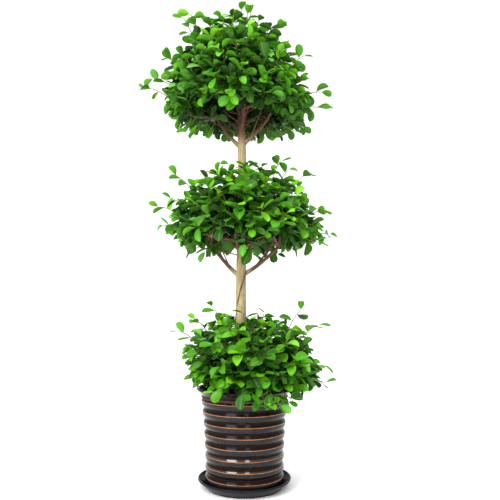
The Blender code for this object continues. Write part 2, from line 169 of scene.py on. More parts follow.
# Limbs: leaf ball, start level above the soil, compass angle, reach, rise, radius
LIMBS = [
    ("bottom", 0.046, 172.0, 0.080, 0.050, 0.0075),
    ("bottom", 0.057, -8.0, 0.095, 0.045, 0.0075),
    ("bottom", 0.072, 84.0, 0.080, 0.050, 0.0065),
    ("bottom", 0.084, -96.0, 0.075, 0.050, 0.0065),
    ("middle", 0.343, 176.0, 0.105, 0.118, 0.0085),
    ("middle", 0.351, -4.0, 0.115, 0.090, 0.0085),
    ("middle", 0.384, 80.0, 0.095, 0.095, 0.0070),
    ("middle", 0.396, -105.0, 0.085, 0.095, 0.0065),
    ("top", 0.753, 174.0, 0.080, 0.100, 0.0080),
    ("top", 0.765, -6.0, 0.085, 0.085, 0.0080),
    ("top", 0.795, 95.0, 0.080, 0.100, 0.0065),
    ("top", 0.807, -80.0, 0.075, 0.100, 0.0065),
]

# Long shoots that stand out of the clipped outline: their tips, with levels above the soil
SPRIGS = {
    "top": [(0.018, 0.000, 1.209), (-0.012, -0.030, 1.201), (-0.205, 0.015, 1.205),
            (-0.175, -0.030, 1.190), (-0.250, 0.000, 1.056), (-0.318, 0.000, 0.952),
            (-0.300, 0.030, 1.000), (0.188, 0.000, 1.062), (0.242, -0.020, 0.880),
            (0.245, 0.020, 0.950), (-0.170, -0.050, 0.795), (-0.140, -0.080, 0.785),
            (-0.110, -0.050, 0.795), (0.085, 0.060, 0.830), (0.120, 0.050, 0.826),
            (0.160, 0.020, 0.818), (0.185, 0.000, 0.825), (0.110, -0.020, 1.158),
            (-0.185, 0.010, 1.150), (-0.060, 0.200, 1.120), (0.060, 0.230, 1.000)],
    "middle": [(0.112, 0.000, 0.712), (0.138, 0.020, 0.690), (-0.050, 0.020, 0.708),
               (-0.215, 0.000, 0.665), (-0.268, 0.000, 0.566), (-0.252, 0.000, 0.507),
               (-0.225, -0.030, 0.585), (0.240, 0.000, 0.552), (0.262, 0.000, 0.480),
               (0.225, -0.040, 0.448), (-0.160, -0.050, 0.422), (-0.115, -0.060, 0.420),
               (0.000, -0.180, 0.425), (0.020, -0.110, 0.405), (0.100, 0.020, 0.420),
               (0.195, 0.030, 0.680), (-0.040, 0.220, 0.640), (0.120, 0.200, 0.560)],
    "bottom": [(-0.100, 0.020, 0.258), (-0.150, 0.000, 0.218), (-0.198, 0.000, 0.184),
               (0.172, 0.020, 0.246), (0.222, 0.000, 0.203), (0.232, -0.030, 0.085),
               (0.232, -0.060, 0.040), (0.060, 0.030, 0.240), (-0.004, -0.060, 0.236),
               (-0.075, -0.175, 0.030), (-0.005, -0.178, 0.022), (0.020, -0.170, 0.028),
               (0.055, -0.180, 0.000), (0.075, -0.175, 0.018), (0.095, -0.172, -0.004),
               (0.132, -0.140, 0.002), (-0.122, -0.120, 0.050), (0.040, 0.190, 0.150)],
}

WOOD_NODES = ["trunk"] + [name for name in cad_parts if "_limb_" in name]

LEAF_LENGTH = 0.050
LEAF_WIDTH = 0.031
LEAF_THICKNESS = 0.0008

# Rows of a leaf from stalk to tip: how far along it, and its width there
LEAF_ROWS = [(0.00, 0.05), (0.11, 0.09), (0.27, 0.60), (0.45, 0.90), (0.63, 1.00),
             (0.80, 0.93), (0.93, 0.66), (1.00, 0.22)]

# Shoots, and how leaves sit on them
BARE_TWIG = 0.42  # how much of a twig comes before its first leaf
LEAFY_TWIG = 0.58
LEAF_TURN = 2.4  # round the twig from one leaf to the next, in radians
LEAF_LEAN = (50.0, 88.0)  # away from the twig, in degrees
LEAVES_PER_SHOOT = 8
SHOOT_LENGTH = 0.050
SPRIG_LEAVES = 5
SPRIG_LENGTH = 0.070
SPRIG_YOUTH = 0.56
HANGING_YOUTH = 0.27
HANGING_BAND = 0.06  # sprigs that start this close to a ball's underside hang
OUTER_DEPTH = 0.87  # how far out the outer shoots reach, as a share of the outline

# Each shoot's depth in turn and how much painted shade its leaves get, with a depth of 0 for an
# outer shoot
SHOOT_CYCLE = [(0.0, 0.0), (0.60, 0.95), (0.0, 0.0), (0.82, 0.5), (0.0, 0.0), (0.38, 0.95)]

# Stage, lights and camera
SWEEP_REACH = 6.0
SWEEP_BACK = 3.0
SWEEP_BEND = 1.2
LAMP_TARGET = (0.0, 0.0, 0.30)
LAMP_DISTANCE = 3.2
LAMP_ELEVATION = 32.0
CAMERA_SPOT = (0.016, -1.587, 0.4866)
CAMERA_TILT = 7.35

# Leaves stand no further than this outside the frame's box
PROUD = [side * 0.03 + 0.007 for side in CAD_BOX[1] - CAD_BOX[0]]
LOWEST = [corner - proud for corner, proud in zip(CAD_BOX[0], PROUD)]
HIGHEST = [corner + proud for corner, proud in zip(CAD_BOX[1], PROUD)]


# Materials

def new_paint(name, roughness):
    """A material with one shader, and its node tree."""
    paint = bpy.data.materials.new(name)
    paint.use_nodes = True
    tree = paint.node_tree
    shader = tree.nodes["Principled BSDF"]
    shader.inputs["Roughness"].default_value = roughness
    return paint, tree, shader


def node(tree, kind, **values):
    """A node of the kind, with its settings."""
    made = tree.nodes.new(kind)
    for key, value in values.items():
        setattr(made, key, value)
    return made


def grain(tree, scale, detail=3.0, stretch=(1.0, 1.0, 1.0), roughness=0.6):
    """Noise fixed to the piece, stretched along its axes."""
    place = node(tree, "ShaderNodeTexCoord")
    mapping = node(tree, "ShaderNodeMapping")
    mapping.inputs["Scale"].default_value = stretch
    tree.links.new(place.outputs["Object"], mapping.inputs["Vector"])
    texture = node(tree, "ShaderNodeTexNoise")
    texture.inputs["Scale"].default_value = scale
    texture.inputs["Detail"].default_value = detail
    texture.inputs["Roughness"].default_value = roughness
    tree.links.new(mapping.outputs["Vector"], texture.inputs["Vector"])
    return texture.outputs["Fac"]


def ramp(tree, source, stops):
    """Colours or greys along a source from 0 to 1."""
    made = node(tree, "ShaderNodeValToRGB")
    bar = made.color_ramp
    while len(bar.elements) < len(stops):
        bar.elements.new(0.5)
    for element, (place, colour) in zip(bar.elements, stops):
        element.position = place
        element.color = (*colour, 1.0) if len(colour) == 3 else colour
    tree.links.new(source, made.inputs["Fac"])
    return made.outputs["Color"]


def grey_ramp(tree, source, stops):
    """Greys along a source from 0 to 1."""
    return ramp(tree, source, [(place, (value, value, value)) for place, value in stops])


def math_node(tree, operation, first, second=None):
    """The result of a sum on numbers or sockets."""
    made = node(tree, "ShaderNodeMath", operation=operation)
    for socket, value in zip(made.inputs, (first, second)):
        if value is None:
            continue
        if isinstance(value, (int, float)):
            socket.default_value = value
        else:
            tree.links.new(value, socket)
    return made.outputs["Value"]


def mix(tree, factor, first, second):
    """A blend of two colours, each a colour or a socket."""
    made = node(tree, "ShaderNodeMix", data_type="RGBA")
    for name, value in (("Factor", factor), ("A", first), ("B", second)):
        socket = [item for item in made.inputs if item.name == name and item.enabled][0]
        if isinstance(value, (int, float)):
            socket.default_value = value
        elif isinstance(value, tuple):
            socket.default_value = (*value, 1.0)
        else:
            tree.links.new(value, socket)
    return [item for item in made.outputs if item.enabled][0]


def surface_map(tree, name):
    """The three channels of a colour attribute on the piece."""
    source = node(tree, "ShaderNodeAttribute", attribute_name=name)
    split = node(tree, "ShaderNodeSeparateColor")
    tree.links.new(source.outputs["Color"], split.inputs["Color"])
    return split.outputs["Red"], split.outputs["Green"], split.outputs["Blue"]


def relief(tree, shader, height, strength, distance):
    """Fine relief on the surface, on top of its shape."""
    bump = node(tree, "ShaderNodeBump")
    bump.inputs["Strength"].default_value = strength
    bump.inputs["Distance"].default_value = distance
    tree.links.new(height, bump.inputs["Height"])
    tree.links.new(bump.outputs["Normal"], shader.inputs["Normal"])


def pot_glaze():
    """Near-black glaze, dull red-brown in the grooves, worn to orange tan on the rib edges."""
    paint, tree, shader = new_paint("pot_glaze", 0.12)
    edge, groove, wet = surface_map(tree, "glaze_map")
    cloud = grain(tree, 38.0, 4.0, (1.0, 1.0, 2.2))
    speck = grain(tree, 420.0, 2.0)
    throwing = grain(tree, 60.0, 3.0, (0.15, 0.15, 6.0))
    body = ramp(tree, cloud, [(0.25, (0.004, 0.004, 0.005)), (0.55, (0.008, 0.007, 0.008)),
                              (0.80, (0.018, 0.012, 0.011))])
    body = mix(tree, groove, body, (0.010, 0.004, 0.003))
    shine = math_node(tree, "SUBTRACT", 0.24, math_node(tree, "MULTIPLY", groove, 0.19))
    tree.links.new(math_node(tree, "ADD", shine, wet), shader.inputs["Specular IOR Level"])
    worn = math_node(tree, "MULTIPLY", edge, math_node(tree, "ADD", cloud, 0.55))
    worn = grey_ramp(tree, worn, [(0.44, 0.0), (0.74, 1.0)])
    rust = ramp(tree, speck, [(0.30, (0.28, 0.080, 0.016)), (0.70, (0.54, 0.25, 0.080))])
    tree.links.new(mix(tree, worn, body, rust), shader.inputs["Base Color"])
    rough = math_node(tree, "ADD", math_node(tree, "MULTIPLY", cloud, 0.14),
                      math_node(tree, "MULTIPLY", edge, 0.25))
    tree.links.new(math_node(tree, "ADD", rough, 0.05), shader.inputs["Roughness"])
    height = math_node(tree, "ADD", cloud, math_node(tree, "MULTIPLY", throwing, 0.6))
    relief(tree, shader, height, 0.20, 0.0014)
    return paint


def saucer_glaze():
    """Plain black glaze with a little dust, duller inside the dish."""
    paint, tree, shader = new_paint("saucer_glaze", 0.3)
    inside, _, _ = surface_map(tree, "glaze_map")
    shine = math_node(tree, "SUBTRACT", 0.10, math_node(tree, "MULTIPLY", inside, 0.08))
    tree.links.new(shine, shader.inputs["Specular IOR Level"])
    cloud = grain(tree, 30.0, 4.0)
    speck = grain(tree, 520.0, 2.0)
    body = ramp(tree, cloud, [(0.3, (0.004, 0.004, 0.005)), (0.8, (0.010, 0.010, 0.011))])
    dust = grey_ramp(tree, speck, [(0.62, 0.0), (0.80, 0.35)])
    tree.links.new(mix(tree, dust, body, (0.04, 0.035, 0.03)), shader.inputs["Base Color"])
    rough = math_node(tree, "MULTIPLY", cloud, 0.30)
    tree.links.new(math_node(tree, "ADD", rough, 0.16), shader.inputs["Roughness"])
    relief(tree, shader, cloud, 0.12, 0.001)
    return paint


def soil_paint():
    """Dark red-brown potting soil."""
    paint, tree, shader = new_paint("soil", 0.95)
    lump = grain(tree, 160.0, 5.0)
    speck = grain(tree, 900.0, 2.0)
    body = ramp(tree, lump, [(0.25, (0.012, 0.005, 0.003)), (0.55, (0.050, 0.020, 0.011)),
                             (0.80, (0.120, 0.055, 0.030))])
    bright = grey_ramp(tree, speck, [(0.66, 0.0), (0.74, 0.7)])
    tree.links.new(mix(tree, bright, body, (0.22, 0.15, 0.10)), shader.inputs["Base Color"])
    relief(tree, shader, lump, 0.8, 0.002)
    return paint


def bark_paint():
    """Pale tan bark with fine streaks, darker and redder on young wood and, as painted shade, on
    the stem under the top ball; green on shoots.

    The root is painted dark: its own dark bark, deepened with painted shade for the dark line
    where it hugs the stem.
    """
    paint, tree, shader = new_paint("bark", 0.72)
    young_and_shade, shoot, shade = surface_map(tree, "wood_map")
    streak = grain(tree, 260.0, 4.0, (1.0, 1.0, 0.12))
    patch = grain(tree, 34.0, 4.0, (1.0, 1.0, 0.45))
    ring = grain(tree, 210.0, 3.0, (0.35, 0.35, 1.9))
    old = ramp(tree, patch, [(0.28, (0.20, 0.145, 0.065)), (0.48, (0.36, 0.275, 0.125)),
                             (0.72, (0.46, 0.37, 0.19))])
    dark_streak = grey_ramp(tree, streak, [(0.30, 0.80), (0.52, 0.0)])
    old = mix(tree, dark_streak, old, (0.14, 0.09, 0.045))
    old = mix(tree, grey_ramp(tree, ring, [(0.62, 0.0), (0.72, 0.45)]), old, (0.66, 0.58, 0.40))
    red = ramp(tree, patch, [(0.3, (0.055, 0.020, 0.010)), (0.7, (0.150, 0.065, 0.030))])
    green = ramp(tree, patch, [(0.3, (0.08, 0.12, 0.020)), (0.7, (0.20, 0.20, 0.05))])
    # The young channel is young wood and, on the stem under the top ball, painted shade
    wood = mix(tree, young_and_shade, old, red)
    wood = mix(tree, shoot, wood, green)
    # Painted shade: the root is darkened beyond its own bark colour
    wood = mix(tree, shade, wood, (0.050, 0.024, 0.012))
    tree.links.new(wood, shader.inputs["Base Color"])
    height = math_node(tree, "ADD", streak, math_node(tree, "MULTIPLY", ring, 0.7))
    relief(tree, shader, height, 0.55, 0.0012)
    return paint


def leaf_paint():
    """Leaf green: deep when old, lime when young, with a pale midrib, side veins and underside.

    Leaves deep inside a ball get painted shade that makes them nearly black.
    """
    paint, tree, shader = new_paint("leaf", 0.36)
    shader.inputs["Specular IOR Level"].default_value = 0.20
    across, along, under = surface_map(tree, "leaf_map")
    # First channel: leaf age with painted light and shade; third channel: painted shade for
    # leaves deep in a ball
    youth_and_shade, luck, painted_shade = surface_map(tree, "leaf_tone_and_shade")
    mottle = grain(tree, 120.0, 3.0)
    tone = math_node(tree, "ADD", youth_and_shade, math_node(tree, "MULTIPLY", mottle, 0.16))
    green = ramp(tree, math_node(tree, "SUBTRACT", tone, 0.08), [
        (0.00, (0.003, 0.022, 0.002)), (0.30, (0.012, 0.078, 0.003)),
        (0.56, (0.046, 0.235, 0.003)), (0.80, (0.115, 0.410, 0.004)),
        (1.00, (0.180, 0.490, 0.014))])
    warm = mix(tree, math_node(tree, "MULTIPLY", luck, 0.35), green, (0.070, 0.20, 0.004))
    centre = math_node(tree, "ABSOLUTE", math_node(tree, "SUBTRACT", across, 0.5))
    midrib = grey_ramp(tree, centre, [(0.012, 1.0), (0.055, 0.0)])
    slant = math_node(tree, "SUBTRACT", math_node(tree, "MULTIPLY", along, 15.0),
                      math_node(tree, "MULTIPLY", centre, 11.0))
    wave = math_node(tree, "ABSOLUTE", math_node(tree, "SINE",
                                                 math_node(tree, "MULTIPLY", slant, math.pi)))
    vein = grey_ramp(tree, wave, [(0.03, 1.0), (0.20, 0.0)])
    lines = math_node(tree, "MAXIMUM", math_node(tree, "MULTIPLY", midrib, 0.50),
                      math_node(tree, "MULTIPLY", vein, 0.13))
    veined = mix(tree, lines, warm, (0.13, 0.32, 0.022))
    pale = mix(tree, 0.35, veined, (0.060, 0.18, 0.018))
    face = mix(tree, under, veined, pale)
    # Painted shade: leaves deep inside a ball are darkened nearly to black
    face = mix(tree, math_node(tree, "MULTIPLY", painted_shade, 0.90), face, (0.004, 0.014, 0.002))
    tree.links.new(face, shader.inputs["Base Color"])
    rough = math_node(tree, "ADD", math_node(tree, "MULTIPLY", under, 0.25),
                      math_node(tree, "MULTIPLY", mottle, 0.20))
    tree.links.new(math_node(tree, "ADD", rough, 0.24), shader.inputs["Roughness"])
    relief(tree, shader, math_node(tree, "SUBTRACT", mottle, lines), 0.30, 0.0006)
    return paint


# Meshes

def finish_piece(name, shape, paint, stands_for, smooth_degrees=60):
    """Turns a bmesh into a piece that rides on the frame and stands for its nodes."""
    mesh = bpy.data.meshes.new(name)
    shape.to_mesh(mesh)
    shape.free()
    mesh.shade_smooth()
    mesh.set_sharp_from_angle(angle=math.radians(smooth_degrees))
    piece = bpy.data.objects.new(name, mesh)
    bpy.context.scene.collection.objects.link(piece)
    mesh.materials.append(paint)
    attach(piece, "root")
    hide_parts(*stands_for)
    return piece


def turn(profile, steps=TURN_STEPS):
    """A turned solid from a profile of (radius, level) that starts and ends on the axis."""
    shape = bmesh.new()
    verts = [shape.verts.new((radius, 0.0, level)) for radius, level in profile]
    edges = [shape.edges.new(pair) for pair in zip(verts, verts[1:])]
    bmesh.ops.spin(shape, geom=verts + edges, axis=(0, 0, 1), cent=(0, 0, 0),
                   angle=2.0 * math.pi, steps=steps, use_merge=True)
    bmesh.ops.remove_doubles(shape, verts=shape.verts, dist=0.00002)
    bmesh.ops.recalc_face_normals(shape, faces=shape.faces)
    return shape


def arc(centre, radius, start, end, steps):
    """Points on a round stretch of a profile, angles in degrees from outwards."""
    points = []
    for step in range(steps + 1):
        angle = math.radians(start + (end - start) * step / steps)
        points.append((centre[0] + radius * math.cos(angle),
                       centre[1] + radius * math.sin(angle)))
    return points


def rib_radius(level):
    """How far out the rib edges stand at a level."""
    lowest_rib = TOP_RIB - (RIB_COUNT - 1) * RIB_PITCH
    share = max(0.0, (level - lowest_rib) / (TOP_RIB - lowest_rib))
    return POT_WAIST_RADIUS + (POT_TOP_RIB_RADIUS - POT_WAIST_RADIUS) * share ** 2


def rib_profile(rib):
    """One rib from the groove above its edge, out over the edge and down its belly."""
    edge = TOP_RIB - rib * RIB_PITCH
    radius = rib_radius(edge)
    points = []
    for step in range(7):
        share = step / 7.0
        points.append((radius - RIB_DEPTH * (1.0 - share ** 1.35), edge + LEDGE * (1.0 - share)))
    points += arc((radius - EDGE_ROUND, edge + EDGE_LIFT), EDGE_ROUND, 70, -60, 3)
    next_radius = rib_radius(edge - RIB_PITCH)
    for step in range(1, 9):
        share = step / 8.0
        drop = (RIB_PITCH - LEDGE) * share
        lean = (radius - next_radius) * share
        belly = RIB_BELLY * share * (1.0 - share) - (RIB_DEPTH - EDGE_SETBACK) * share ** 3.2
        points.append((radius - EDGE_SETBACK - lean + belly, edge - drop))
    return points[:-1]


def pot_profile():
    """From the floor inside, up the wall, over the lip, down the collar and ribs to the foot."""
    floor = POT_BASE + POT_FLOOR
    profile = [(0.0, floor), (rib_radius(floor) - POT_WALL - 0.006, floor)]
    for step in range(1, 13):
        level = floor + (TOP_RIB - floor) * step / 12.0
        profile.append((rib_radius(level) - POT_WALL, level))
    profile.append((POT_RIM_RADIUS - POT_WALL - 0.0005, POT_RIM - 0.010))
    lip = POT_WALL * 0.42
    profile += arc((POT_RIM_RADIUS - lip, POT_RIM - lip), lip, 165, -25, 9)
    under_lip = lip * 1.6
    collar = COLLAR_HEIGHT - under_lip
    flare = POT_RIM_RADIUS - POT_TOP_RIB_RADIUS
    for step in range(1, 8):
        share = step / 8.0
        profile.append((POT_TOP_RIB_RADIUS - 0.0010 + flare * (1.0 - share) ** 1.7,
                        POT_RIM - under_lip - (collar - LEDGE) * share))
    for rib in range(RIB_COUNT):
        profile += rib_profile(rib)
    profile += arc((POT_FOOT_RADIUS + 0.0015, POT_BASE + 0.004), 0.004, -10, -90, 4)
    profile.append((POT_FOOT_RADIUS - 0.006, POT_BASE))
    profile.append((POT_FOOT_RADIUS - 0.008, POT_BASE + 0.0015))
    profile.append((0.0, POT_BASE + 0.0015))
    return profile


def make_pot(paint):
    """The turned pot, with its worn edges, grooves and wet spots marked for the glaze."""
    shape = turn(pot_profile())
    glaze = shape.verts.layers.float_color.new("glaze_map")
    for vert in shape.verts:
        radius = math.hypot(vert.co.x, vert.co.y)
        level = vert.co.z
        outside = radius > rib_radius(level) - POT_WALL * 0.6
        ribs_down = (TOP_RIB - level) / RIB_PITCH
        nearest = round(ribs_down)
        apart = abs(ribs_down - nearest) * RIB_PITCH
        on_ribs = outside and -0.5 < ribs_down < RIB_COUNT - 0.4
        edge = max(0.0, 1.0 - apart / EDGE_BAND) if on_ribs else 0.0
        into_groove = (ribs_down - math.floor(ribs_down) - GROOVE_MIDDLE) / GROOVE_SPREAD
        groove = (1.0 - into_groove ** 2) ** 0.7 if on_ribs and abs(into_groove) < 1.0 else 0.0
        if outside and level > TOP_RIB + LEDGE:
            groove = COLLAR_GROOVE
        above = (nearest - ribs_down) * RIB_PITCH
        pooled = on_ribs and WET_FROM < above < WET_RIBS.get(nearest, 0.0)
        vert[glaze] = (edge, groove, WET_SHINE if pooled else 0.0, 1.0)
        swell = noise.noise(Vector((vert.co.x * 14.0, vert.co.y * 14.0, level * 18.0)))
        if outside and level > POT_BASE + 0.01:
            push = 1.0 + SWELL_DEPTH * swell / max(radius, 0.01)
            vert.co.x *= push
            vert.co.y *= push
    finish_piece("ribbed_pot", shape, paint, ["pot"], 50)


def make_saucer(paint):
    """The turned dish, with its inside marked for the glaze."""
    inner_foot = SAUCER_FOOT_RADIUS - SAUCER_WALL * 0.9
    inner_flare = SAUCER_RIM_RADIUS - SAUCER_WALL - inner_foot
    flare = SAUCER_RIM_RADIUS - SAUCER_FOOT_RADIUS
    lip = SAUCER_WALL * 0.5
    under_lip = SAUCER_RIM - lip * 1.6
    profile = [(0.0, SAUCER_FLOOR), (inner_foot - 0.004, SAUCER_FLOOR),
               (inner_foot, SAUCER_FLOOR + 0.0012)]
    for step in range(1, 7):
        share = step / 6.0
        profile.append((inner_foot + inner_flare * share ** 0.9,
                        SAUCER_FLOOR + 0.0012 + (SAUCER_RIM - SAUCER_FLOOR - 0.004) * share))
    profile += arc((SAUCER_RIM_RADIUS - lip, SAUCER_RIM - lip), lip, 150, -35, 8)
    for step in range(1, 7):
        share = step / 7.0
        profile.append((SAUCER_RIM_RADIUS - 0.0005 - flare * share ** 1.15,
                        under_lip - under_lip * 0.92 * share))
    profile += arc((SAUCER_FOOT_RADIUS - 0.002, 0.002), 0.002, -10, -90, 4)
    profile.append((0.0, 0.0))
    shape = turn(profile)
    glaze = shape.verts.layers.float_color.new("glaze_map")
    for vert in shape.verts:
        wall = SAUCER_FOOT_RADIUS + flare * vert.co.z / SAUCER_RIM - SAUCER_WALL * 0.5
        inside = vert.co.z > SAUCER_FLOOR * 0.9 and math.hypot(vert.co.x, vert.co.y) < wall
        vert[glaze] = (1.0 if inside else 0.0, 0.0, 0.0, 1.0)
    finish_piece("saucer_dish", shape, paint, ["saucer"], 50)


def make_soil(paint):
    """A lumpy mound with crumbs lying on it, closed below."""
    edge = POT_RIM_RADIUS - POT_WALL - 0.004
    profile = [(0.0, SOIL_TOP + SOIL_SWELL)]
    for step in range(1, 26):
        share = step / 26.0
        profile.append((edge * share, SOIL_TOP + SOIL_SWELL * (1.0 - share ** 2)))
    profile.append((edge - 0.001, SOIL_TOP - 0.004))
    for level in SOIL_WALL_LEVELS:
        profile.append((rib_radius(level) - POT_WALL - 0.001, level))
    profile.append((rib_radius(SOIL_FOOT_LEVEL) - POT_WALL - 0.008, SOIL_LOW.z))
    profile.append((0.0, SOIL_LOW.z))
    shape = turn(profile, 96)
    for vert in shape.verts:
        if vert.co.z > SOIL_TOP - 0.001:
            lump = noise.noise(vert.co * 90.0) * 0.0022 + noise.noise(vert.co * 240.0) * 0.0012
            vert.co.z += lump
    chance = random.Random(5)
    for _ in range(SOIL_CRUMBS):
        radius = edge * math.sqrt(chance.random()) * 0.97
        angle = chance.uniform(0.0, 2.0 * math.pi)
        size = chance.uniform(0.0012, 0.0042)
        lift = SOIL_SWELL * (1.0 - (radius / edge) ** 2)
        spot = Vector((radius * math.cos(angle), radius * math.sin(angle),
                       SOIL_TOP + lift + size * 0.2))
        turned = Matrix.Rotation(chance.uniform(0.0, 6.28), 4, "Z")
        flat = Matrix.Diagonal((1.0, chance.uniform(0.5, 1.0), chance.uniform(0.4, 0.8), 1.0))
        bmesh.ops.create_icosphere(shape, subdivisions=1, radius=size,
                                   matrix=Matrix.Translation(spot) @ turned @ flat)
    finish_piece("potting_soil", shape, paint, ["soil"], 40)


# Wood

def smooth_line(points, per_span):
    """More points along a soft curve through the given ones."""
    ends = [points[0] * 2 - points[1], *points, points[-1] * 2 - points[-2]]
    line = []
    for a, b, c, d in zip(ends, ends[1:], ends[2:], ends[3:]):
        for step in range(per_span):
            t = step / per_span
            line.append(0.5 * ((2 * b) + (c - a) * t + (2 * a - 5 * b + 4 * c - d) * t * t
                               + (3 * b - a - 3 * c + d) * t ** 3))
    line.append(points[-1].copy())
    return line


def spread_radii(first, last, count, power=1.0):
    """Radii that taper along a tube."""
    return [first + (last - first) * (step / (count - 1)) ** power for step in range(count)]


def tubes(lines, resolution):
    """Closed tapering tubes as one bmesh; each line is (points, radii)."""
    curve = bpy.data.curves.new("wood_line", "CURVE")
    curve.dimensions = "3D"
    curve.bevel_depth = 1.0
    curve.bevel_resolution = resolution
    curve.use_fill_caps = True
    for points, radii in lines:
        spline = curve.splines.new("POLY")
        spline.points.add(len(points) - 1)
        for spot, point, radius in zip(spline.points, points, radii):
            spot.co = (*point, 1.0)
            spot.radius = radius
    guide = bpy.data.objects.new("wood_line", curve)
    bpy.context.scene.collection.objects.link(guide)
    bpy.context.view_layer.update()
    solid = guide.evaluated_get(bpy.context.evaluated_depsgraph_get())
    mesh = bpy.data.meshes.new_from_object(solid)
    bpy.data.objects.remove(guide, do_unlink=True)
    bpy.data.curves.remove(curve)
    shape = bmesh.new()
    shape.from_mesh(mesh)
    bpy.data.meshes.remove(mesh)
    bmesh.ops.remove_doubles(shape, verts=shape.verts, dist=0.000005)
    bmesh.ops.recalc_face_normals(shape, faces=shape.faces)
    return shape


def join_shapes(shapes):
    """One bmesh from several, which are used up."""
    joined = bmesh.new()
    for shape in shapes:
        mesh = bpy.data.meshes.new("part_of_wood")
        shape.to_mesh(mesh)
        shape.free()
        joined.from_mesh(mesh)
        bpy.data.meshes.remove(mesh)
    return joined


def stem_radius(height):
    """Stem radius at a height above the soil, flared at the foot."""
    taper = STEM_RADIUS_FOOT + (STEM_RADIUS_TOP - STEM_RADIUS_FOOT) * height / STEM_HEIGHT
    flare = FOOT_FLARE * math.exp(-max(height, 0.0) / FOOT_FLARE_HEIGHT)
    return taper + flare


def stem_line():
    """The nearly straight stem, from inside the soil up, with its radii."""
    points = []
    radii = []
    for step in range(STEM_STEPS + 1):
        height = STEM_SUNK + (STEM_HEIGHT - STEM_SUNK) * step / STEM_STEPS
        level = SOIL_TOP + height
        sway = 0.0015 * math.sin(level * 9.0)
        points.append(Vector((STEM_X + sway, sway * 0.6, level)))
        radii.append(stem_radius(height))
    return points, radii


def root_line():
    """The thin root that winds down round the stem, with its radii."""
    points = []
    for step in range(ROOT_STEPS + 1):
        share = (step / ROOT_STEPS) ** 1.6
        height = ROOT_TOP + (ROOT_END - ROOT_TOP) * share
        angle = -ROOT_TURN * share ** 0.55
        radius = stem_radius(height) + ROOT_RADIUS * 0.35
        points.append(Vector((STEM_X + radius * math.cos(angle), radius * math.sin(angle),
                              SOIL_TOP + height)))
    radii = [ROOT_RADIUS * (0.85 + 0.25 * math.sin(step * 0.9)) for step in range(ROOT_STEPS + 1)]
    return points, radii


def limb_lines():
    """Each limb's leaf ball, its four points from the stem outwards, and its radius."""
    lines = []
    for crown, level, compass, reach, rise, radius in LIMBS:
        angle = math.radians(compass)
        start = Vector((STEM_X, 0.0, SOIL_TOP + level))
        end = start + Vector((reach * math.cos(angle), reach * math.sin(angle), rise))
        points = []
        for step in range(4):
            share = step / 3.0
            point = start.lerp(end, share)
            point.z -= LIMB_SAG * math.sin(math.pi * share) * 0.5
            points.append(point)
        lines.append((crown, points, radius))
    return lines


def crown_middle(crown):
    """The middle of a leaf ball, at its widest level."""
    return Vector((crown["x"], 0.0, SOIL_TOP + crown["wide"]))


def crown_hub(crown):
    """The spot inside a leaf ball that its boughs spread from."""
    drop = (crown["wide"] - crown["low"]) * 0.45
    return Vector(((crown["x"] + STEM_X) * 0.5, 0.0, SOIL_TOP + crown["wide"] - drop))


def crown_spot(crown, angle, sine):
    """A spot on the outside of the frame's leaf ball."""
    flat = math.sqrt(max(0.0, 1.0 - sine * sine)) * crown["radius"]
    height = crown["high"] - crown["wide"] if sine > 0.0 else crown["wide"] - crown["low"]
    return crown_middle(crown) + Vector((flat * math.cos(angle), flat * math.sin(angle),
                                         height * sine))


def outline_holds(name, spot):
    """True where a spot lies inside a leaf ball's clipped outline."""
    outline = OUTLINES[name]
    height = spot.z - SOIL_TOP
    for (low, low_left, low_right), (high, high_left, high_right) in zip(outline, outline[1:]):
        if low <= height <= high:
            share = (height - low) / (high - low)
            left = low_left + (high_left - low_left) * share
            right = low_right + (high_right - low_right) * share
            half = (right - left) / 2.0
            out = math.hypot((spot.x - (left + right) / 2.0) / half, spot.y / half)
            underside = outline[0][0] + CROWNS[name]["hollow"] * (1.0 - out)
            return out <= 1.0 and height >= underside
    return False


def outline_spot(name, angle, sine, share):
    """A spot that share of the way from a leaf ball's middle to its clipped outline."""
    crown = CROWNS[name]
    middle = crown_middle(crown)
    outer = (crown_spot(crown, angle, sine) - middle) * 1.4
    low, high = 0.0, 1.0
    for _ in range(12):
        half = (low + high) / 2.0
        if outline_holds(name, middle + outer * half):
            low = half
        else:
            high = half
    return middle + outer * low * share


def spray_spots(crown):
    """Where the frame's sprays end, in their order."""
    spots = []
    for index in range(crown["sprays"]):
        share = (index + 0.3) / crown["sprays"]
        sine = 1.0 + (crown["lowest_sine"] - 1.0) * share
        spots.append(crown_spot(crown, index * GOLDEN_ANGLE + crown["seed"], sine))
    return spots


def nearest_on_limbs(target, lines):
    """The best spot on the limbs for a bough to start, and the wood's radius there."""
    best = None
    for points, radius in lines:
        for step, point in enumerate(points[1:]):
            cost = (target - point).length + 0.5 * max(0.0, point.z - target.z)
            if best is None or cost < best[0]:
                thick = radius + (BOUGH_RADIUS - radius) * (step + 1) / 3.0
                best = (cost, point, thick)
    return best[1], best[2]


